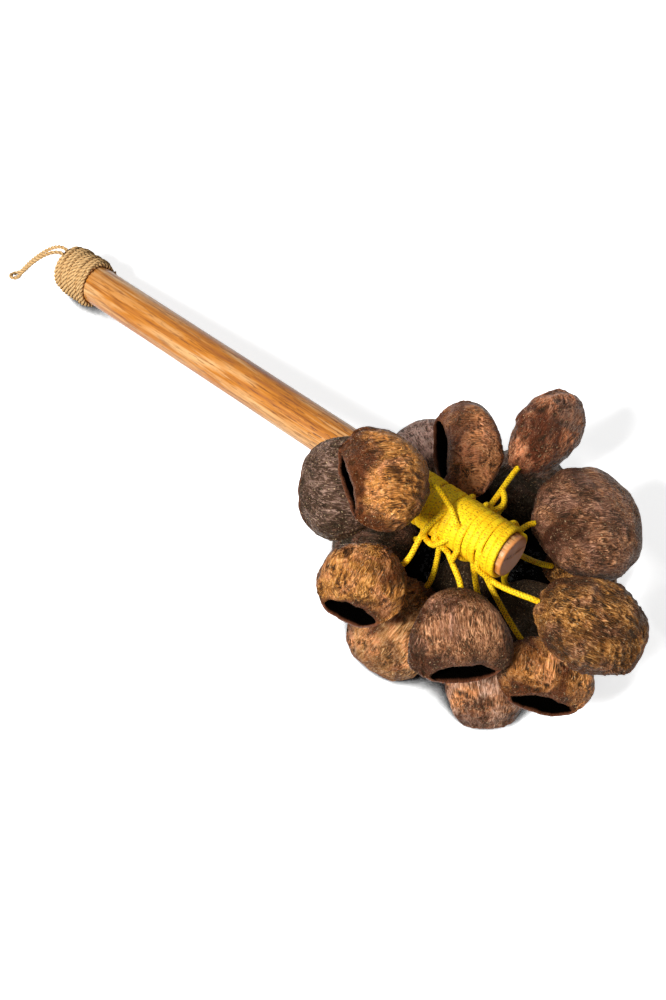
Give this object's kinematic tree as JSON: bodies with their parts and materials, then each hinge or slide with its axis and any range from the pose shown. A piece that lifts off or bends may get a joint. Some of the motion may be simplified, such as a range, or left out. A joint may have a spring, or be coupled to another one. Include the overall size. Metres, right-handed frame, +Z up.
{
  "type": "nut shaker",
  "caption": "Hand rattle: hollow nut shells hang on short cords from a cord winding at one end of a round wooden stick, with a twine wrap and hanging loop at the other.",
  "frame": {"origin": "under the middle of the part, on the table it lies on, with the free hanging loop left out", "axes": "+X along the stick in plan, towards the nut shells; +Z up from the table"},
  "size_m": [0.4208, 0.1694, 0.115],
  "materials": {
    "wood": "satin varnish",
    "twine": "matt natural fibre",
    "cord": "braided synthetic",
    "shell": "natural, fibrous outside and dark inside"
  },
  "bodies": {
    "handle": {"stick": "wood", "twine_wrap": "twine", "cord_winding": "cord", "hanging_loop": "twine"},
    "nut_01_hung": {"nut_01": "shell", "tether_01": "cord"},
    "nut_02_hung": {"nut_02": "shell", "tether_02": "cord"},
    "nut_03_hung": {"nut_03": "shell", "tether_03": "cord"},
    "nut_04_hung": {"nut_04": "shell", "tether_04": "cord"},
    "nut_05_hung": {"nut_05": "shell", "tether_05": "cord"},
    "nut_06_hung": {"nut_06": "shell", "tether_06": "cord"},
    "nut_07_hung": {"nut_07": "shell", "tether_07": "cord"},
    "nut_08_hung": {"nut_08": "shell", "tether_08": "cord"},
    "nut_09_hung": {"nut_09": "shell", "tether_09": "cord"},
    "nut_10_hung": {"nut_10": "shell", "tether_10": "cord"},
    "nut_11_hung": {"nut_11": "shell", "tether_11": "cord"},
    "nut_12_hung": {"nut_12": "shell", "tether_12": "cord"},
    "nut_13_hung": {"nut_13": "shell", "tether_13": "cord"},
    "nut_14_hung": {"nut_14": "shell", "tether_14": "cord"},
    "nut_15_hung": {"nut_15": "shell", "tether_15": "cord"},
    "nut_16_hung": {"nut_16": "shell", "tether_16": "cord"},
    "nut_17_hung": {"nut_17": "shell", "tether_17": "cord"}
  },
  "joints": [
    {"name": "nut_01_swing", "type": "hinge", "parent": "handle", "child": "nut_01_hung", "pos_m": [0.08372, -0.01519, 0.08319], "axis": [-0.4575, 0.8892, 0], "range_deg": [0, 30]},
    {"name": "nut_02_swing", "type": "hinge", "parent": "handle", "child": "nut_02_hung", "pos_m": [0.06261, -0.02454, 0.0739], "axis": [-0.2128, 0.4526, -0.8659], "range_deg": [0, 12]},
    {"name": "nut_03_swing", "type": "hinge", "parent": "handle", "child": "nut_03_hung", "pos_m": [0.07768, -0.02764, 0.06156], "axis": [-0.87, 0.0647, 0.4888], "range_deg": [0, 23]},
    {"name": "nut_04_swing", "type": "hinge", "parent": "handle", "child": "nut_04_hung", "pos_m": [0.0938, -0.02672, 0.06245], "axis": [-0.6808, -0.7325, 0], "range_deg": [0, 25]},
    {"name": "nut_05_swing", "type": "hinge", "parent": "handle", "child": "nut_05_hung", "pos_m": [0.10959, -0.02029, 0.05881], "axis": [0.4045, 0.398, 0.8234], "range_deg": [0, 14]},
    {"name": "nut_06_swing", "type": "hinge", "parent": "handle", "child": "nut_06_hung", "pos_m": [0.11915, -0.02555, 0.06542], "axis": [0.2283, -0.8357, -0.4994], "range_deg": [0, 28]},
    {"name": "nut_07_swing", "type": "hinge", "parent": "handle", "child": "nut_07_hung", "pos_m": [0.11373, 0.0017, 0.06847], "axis": [0.8234, -0.5674, 0], "range_deg": [0, 28]},
    {"name": "nut_08_swing", "type": "hinge", "parent": "handle", "child": "nut_08_hung", "pos_m": [0.09479, 0.00219, 0.06664], "axis": [0.9957, 0.0929, 0], "range_deg": [0, 28]},
    {"name": "nut_09_swing", "type": "hinge", "parent": "handle", "child": "nut_09_hung", "pos_m": [0.08487, 0.00132, 0.0618], "axis": [0.7861, 0.6181, 0], "range_deg": [0, 28]},
    {"name": "nut_10_swing", "type": "hinge", "parent": "handle", "child": "nut_10_hung", "pos_m": [0.07151, -0.00319, 0.05303], "axis": [-0.4347, 0.5124, 0.7406], "range_deg": [0, 28]},
    {"name": "nut_11_swing", "type": "hinge", "parent": "handle", "child": "nut_11_hung", "pos_m": [0.10338, -0.00269, 0.05968], "axis": [0.9176, -0.1472, -0.3692], "range_deg": [0, 14]},
    {"name": "nut_12_swing", "type": "hinge", "parent": "handle", "child": "nut_12_hung", "pos_m": [0.11538, -0.00544, 0.06003], "axis": [0.4396, -0.8328, -0.3365], "range_deg": [0, 18]},
    {"name": "nut_13_swing", "type": "hinge", "parent": "handle", "child": "nut_13_hung", "pos_m": [0.11981, -0.01199, 0.05894], "axis": [-0.1017, 0.9948, 0], "range_deg": [-15, 0]},
    {"name": "nut_14_swing", "type": "hinge", "parent": "handle", "child": "nut_14_hung", "pos_m": [0.10383, -0.01967, 0.05736], "axis": [-0.7597, -0.031, -0.6496], "range_deg": [0, 20]},
    {"name": "nut_15_swing", "type": "hinge", "parent": "handle", "child": "nut_15_hung", "pos_m": [0.08514, -0.02071, 0.05428], "axis": [-0.591, 0.5452, -0.5945], "range_deg": [0, 15]},
    {"name": "nut_16_swing", "type": "hinge", "parent": "handle", "child": "nut_16_hung", "pos_m": [0.07039, -0.01542, 0.04947], "axis": [-0.6771, -0.5278, 0.5128], "range_deg": [-24, 0]},
    {"name": "nut_17_swing", "type": "hinge", "parent": "handle", "child": "nut_17_hung", "pos_m": [0.09251, -0.01238, 0.0536], "axis": [0.9119, -0.2559, 0.3209], "range_deg": [0, 18]}
  ]
}
